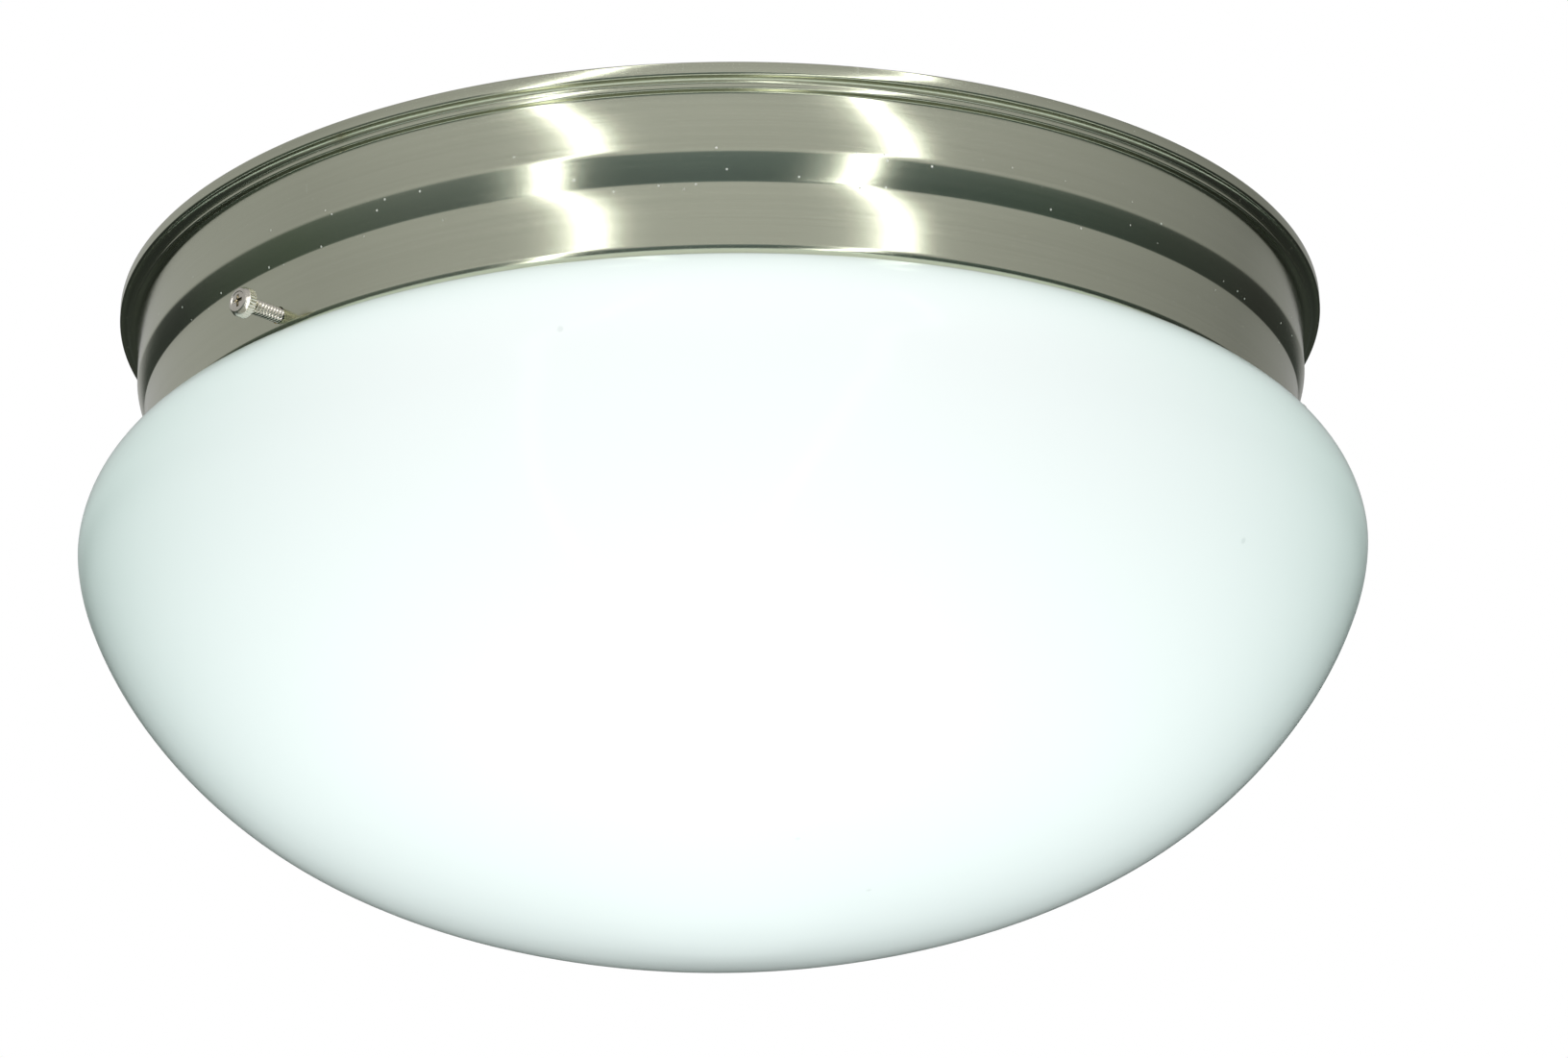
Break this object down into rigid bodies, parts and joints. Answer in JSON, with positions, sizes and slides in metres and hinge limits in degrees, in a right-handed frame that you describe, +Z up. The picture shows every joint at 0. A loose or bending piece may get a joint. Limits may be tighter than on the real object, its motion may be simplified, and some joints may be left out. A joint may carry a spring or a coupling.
{
  "type": "flush mount ceiling light",
  "caption": "Round flush mount ceiling light: stepped spun-metal pan with a rolled rim, and an opal blown-glass bowl held under it by radial screws.",
  "frame": {"origin": "middle of the crossbar's upper face, in the plane of the ceiling", "axes": "+Z up into the ceiling, the light hangs below; +X along the crossbar; the viewer of the picture stands towards -Y"},
  "size_m": [0.3048, 0.3048, 0.152],
  "materials": {
    "brushed_nickel": "brushed round the axis",
    "opal_glass": "glossy, opal white",
    "white_enamel": "gloss",
    "glass_fibre": "matte, fibrous",
    "zinc_steel": "zinc plated",
    "green_steel": "satin",
    "nylon": "satin",
    "porcelain": "glazed",
    "brass": "satin",
    "lamp_cap_metal": "satin",
    "lamp_contact": "solder, satin",
    "lamp_insulator": "gloss",
    "lamp_glass": "soft white, etched inside",
    "lamp_stem": "clear",
    "tungsten": "satin",
    "black_insulation": "satin",
    "white_insulation": "satin",
    "green_insulation": "satin",
    "soft_vinyl": "translucent, soft",
    "bright_nickel": "bright nickel plate"
  },
  "bodies": {
    "fixture": {"fitter_pan": "brushed_nickel", "back_plate": "white_enamel", "insulation_pad": "glass_fibre", "mounting_crossbar": "zinc_steel", "pan_screws": "zinc_steel", "wire_bushing": "nylon", "ground_screw": "green_steel", "socket_bracket_1": "white_enamel", "socket_bracket_2": "white_enamel", "socket_body_1": "porcelain", "socket_body_2": "porcelain", "screw_shell_1": "brass", "screw_shell_2": "brass", "centre_contact_1": "brass", "centre_contact_2": "brass", "bracket_rivets": "zinc_steel", "socket_screws": "zinc_steel", "terminal_block": "nylon", "terminal_tubes": "brass", "terminal_screws": "zinc_steel", "terminal_fixing_screw": "zinc_steel", "live_lead_1": "black_insulation", "live_lead_2": "black_insulation", "neutral_lead_1": "white_insulation", "neutral_lead_2": "white_insulation", "earth_lead": "green_insulation", "lead_clips": "nylon", "press_nuts": "brass"},
    "shade": {"glass_shade": "opal_glass"},
    "tip_1": {"tip_cap_1": "soft_vinyl"},
    "screw_1": {"thumb_screw": "bright_nickel"},
    "tip_2": {"tip_cap_2": "soft_vinyl"},
    "screw_2": {"short_screw_2": "bright_nickel"},
    "tip_3": {"tip_cap_3": "soft_vinyl"},
    "screw_3": {"short_screw_3": "bright_nickel"},
    "lamp_1_slide": {"bulb_contact_1": "lamp_contact"},
    "lamp_1": {"bulb_glass_1": "lamp_glass", "bulb_cap_1": "lamp_cap_metal", "bulb_insulator_1": "lamp_insulator", "bulb_stem_1": "lamp_stem", "bulb_filament_1": "tungsten"},
    "lamp_2_slide": {"bulb_contact_2": "lamp_contact"},
    "lamp_2": {"bulb_glass_2": "lamp_glass", "bulb_cap_2": "lamp_cap_metal", "bulb_insulator_2": "lamp_insulator", "bulb_stem_2": "lamp_stem", "bulb_filament_2": "tungsten"}
  },
  "joints": [
    {"name": "shade_drop", "type": "slide", "parent": "fixture", "child": "shade", "axis": [0, 0, -1], "range_m": [0, 0.12], "deforming": ["tip_cap_1", "tip_cap_2", "tip_cap_3"]},
    {"name": "screw_1_travel", "type": "slide", "parent": "fixture", "child": "tip_1", "axis": [-0.6959, -0.7181, 0], "range_m": [0, 0.00476]},
    {"name": "screw_1_turn", "type": "hinge", "parent": "tip_1", "child": "screw_1", "pos_m": [0, 0, -0.0364], "axis": [-0.6959, -0.7181, 0], "range_deg": [0, 2160]},
    {"name": "screw_2_travel", "type": "slide", "parent": "fixture", "child": "tip_2", "axis": [0.9699, -0.2436, 0], "range_m": [0, 0.00476]},
    {"name": "screw_2_turn", "type": "hinge", "parent": "tip_2", "child": "screw_2", "pos_m": [0, 0, -0.0364], "axis": [0.9699, -0.2436, 0], "range_deg": [0, 2160]},
    {"name": "screw_3_travel", "type": "slide", "parent": "fixture", "child": "tip_3", "axis": [-0.274, 0.9617, 0], "range_m": [0, 0.00476]},
    {"name": "screw_3_turn", "type": "hinge", "parent": "tip_3", "child": "screw_3", "pos_m": [0, 0, -0.0364], "axis": [-0.274, 0.9617, 0], "range_deg": [0, 2160]},
    {"name": "lamp_1_travel", "type": "slide", "parent": "fixture", "child": "lamp_1_slide", "axis": [1, 0, 0], "range_m": [0, 0.0219]},
    {"name": "lamp_1_turn", "type": "hinge", "parent": "lamp_1_slide", "child": "lamp_1", "pos_m": [0, -0.034, -0.05], "axis": [1, 0, 0], "range_deg": [0, 2160]},
    {"name": "lamp_2_travel", "type": "slide", "parent": "fixture", "child": "lamp_2_slide", "axis": [-1, 0, 0], "range_m": [0, 0.0219]},
    {"name": "lamp_2_turn", "type": "hinge", "parent": "lamp_2_slide", "child": "lamp_2", "pos_m": [0, 0.034, -0.05], "axis": [-1, 0, 0], "range_deg": [0, 2160]}
  ],
  "couplings": [
    {"joint": "screw_1_turn", "follows": "screw_1_travel", "rad_per_m": 7915.8},
    {"joint": "screw_2_turn", "follows": "screw_2_travel", "rad_per_m": 7915.8},
    {"joint": "screw_3_turn", "follows": "screw_3_travel", "rad_per_m": 7915.8},
    {"joint": "lamp_1_travel", "follows": "lamp_1_turn", "m_per_rad": 0.00057751},
    {"joint": "lamp_2_travel", "follows": "lamp_2_turn", "m_per_rad": 0.00057751}
  ]
}
